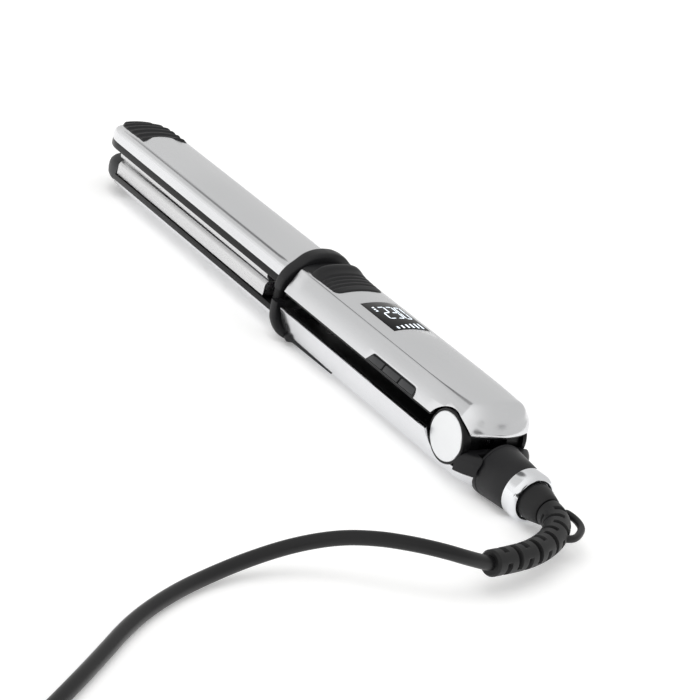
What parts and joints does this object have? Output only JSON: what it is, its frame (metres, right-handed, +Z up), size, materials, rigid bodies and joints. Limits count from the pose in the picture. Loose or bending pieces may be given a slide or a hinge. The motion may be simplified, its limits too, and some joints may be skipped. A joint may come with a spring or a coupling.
{
  "type": "flat iron",
  "caption": "Hair straightener with two hinged arms, floating plates, side buttons, a digital display and a swivel cord.",
  "frame": {"origin": "middle of the bottom of the iron's own bounding box, without the cord and what is on it", "axes": "+X towards the tip, +Y towards the button side, +Z up; the iron lies on its lower handle"},
  "size_m": [0.4262, 0.3458, 0.0375],
  "materials": {
    "silver_shell": "satin metallic silver lacquer",
    "chrome_trim": "polished",
    "black_plastic": "fine matte",
    "black_liner": "satin black",
    "dark_cover": "matte dark grey",
    "plate_metal": "smooth coated",
    "soft_black": "soft touch",
    "glass_black": "high gloss",
    "display": "lit segments behind glass",
    "button_black": "satin",
    "board": "solder mask",
    "ceramic": "ceramic heater",
    "steel": "plain",
    "cord_black": "matte sheath",
    "brass": "bright"
  },
  "bodies": {
    "upper_arm": {"upper_handle_shell": "silver_shell", "upper_front_shell": "silver_shell", "upper_tip_pad": "black_plastic", "upper_front_liner": "black_liner", "upper_handle_liner": "black_liner", "upper_saddle": "black_plastic", "thumb_pad": "soft_black", "display_lens": "glass_black", "display_module": "display", "control_board": "board", "button_bezel": "black_plastic", "button_switches": "black_plastic", "upper_plate_carrier": "black_plastic", "upper_cushions": "soft_black", "upper_screws": "steel", "upper_bumpers": "soft_black", "hinge_knuckle": "black_plastic"},
    "upper_plate_body": {"upper_plate": "plate_metal", "upper_heater": "ceramic"},
    "button_power_body": {"button_power": "button_black"},
    "button_plus_body": {"button_plus": "button_black"},
    "button_minus_body": {"button_minus": "button_black"},
    "lower_arm": {"lower_handle_shell": "silver_shell", "lower_front_shell": "silver_shell", "lower_front_liner": "black_liner", "lower_handle_liner": "black_liner", "lower_tip_cover": "dark_cover", "lower_saddle": "black_plastic", "finger_pad": "soft_black", "lower_plate_carrier": "black_plastic", "lower_cushions": "soft_black", "lower_bumpers": "soft_black", "power_board": "board", "hinge_yoke": "black_plastic", "hinge_pin": "steel", "opening_spring": "steel", "hinge_ring_left": "black_liner", "hinge_cap_left": "chrome_trim", "hinge_ring_right": "black_liner", "hinge_cap_right": "chrome_trim", "swivel_neck": "black_liner", "swivel_barrel": "black_plastic", "swivel_ring": "chrome_trim"},
    "lower_plate_body": {"lower_plate": "plate_metal", "lower_heater": "ceramic"},
    "cord_side": {"swivel_core": "black_plastic", "relief_plug": "soft_black", "strain_relief": "soft_black", "hanging_loop": "soft_black", "cord": "cord_black", "cord_coil": "cord_black", "cord_tie": "black_plastic", "plug_body": "soft_black", "plug_pins": "brass"}
  },
  "joints": [
    {"name": "cord_swivel", "type": "hinge", "parent": "cord_side", "child": "lower_arm", "pos_m": [-0.1405, 0, 0.0095], "axis": [1, 0, 0], "continuous": true},
    {"name": "arm_hinge", "type": "hinge", "parent": "lower_arm", "child": "upper_arm", "pos_m": [-0.1205, 0, 0.0169], "axis": [0, -1, 0], "range_deg": [0, 16]},
    {"name": "button_power_press", "type": "slide", "parent": "upper_arm", "child": "button_power_body", "axis": [0, -1, 0], "range_m": [0, 0.0006], "stiffness_N_per_m": 800},
    {"name": "button_plus_press", "type": "slide", "parent": "upper_arm", "child": "button_plus_body", "axis": [0, -1, 0], "range_m": [0, 0.0006], "stiffness_N_per_m": 800},
    {"name": "button_minus_press", "type": "slide", "parent": "upper_arm", "child": "button_minus_body", "axis": [0, -1, 0], "range_m": [0, 0.0006], "stiffness_N_per_m": 800},
    {"name": "upper_plate_float", "type": "slide", "parent": "upper_arm", "child": "upper_plate_body", "axis": [0, 0, 1], "range_m": [0, 0.0007], "stiffness_N_per_m": 3000, "springref_m": -0.001},
    {"name": "lower_plate_float", "type": "slide", "parent": "lower_arm", "child": "lower_plate_body", "axis": [0, 0, -1], "range_m": [0, 0.0007], "stiffness_N_per_m": 3000, "springref_m": -0.001}
  ]
}
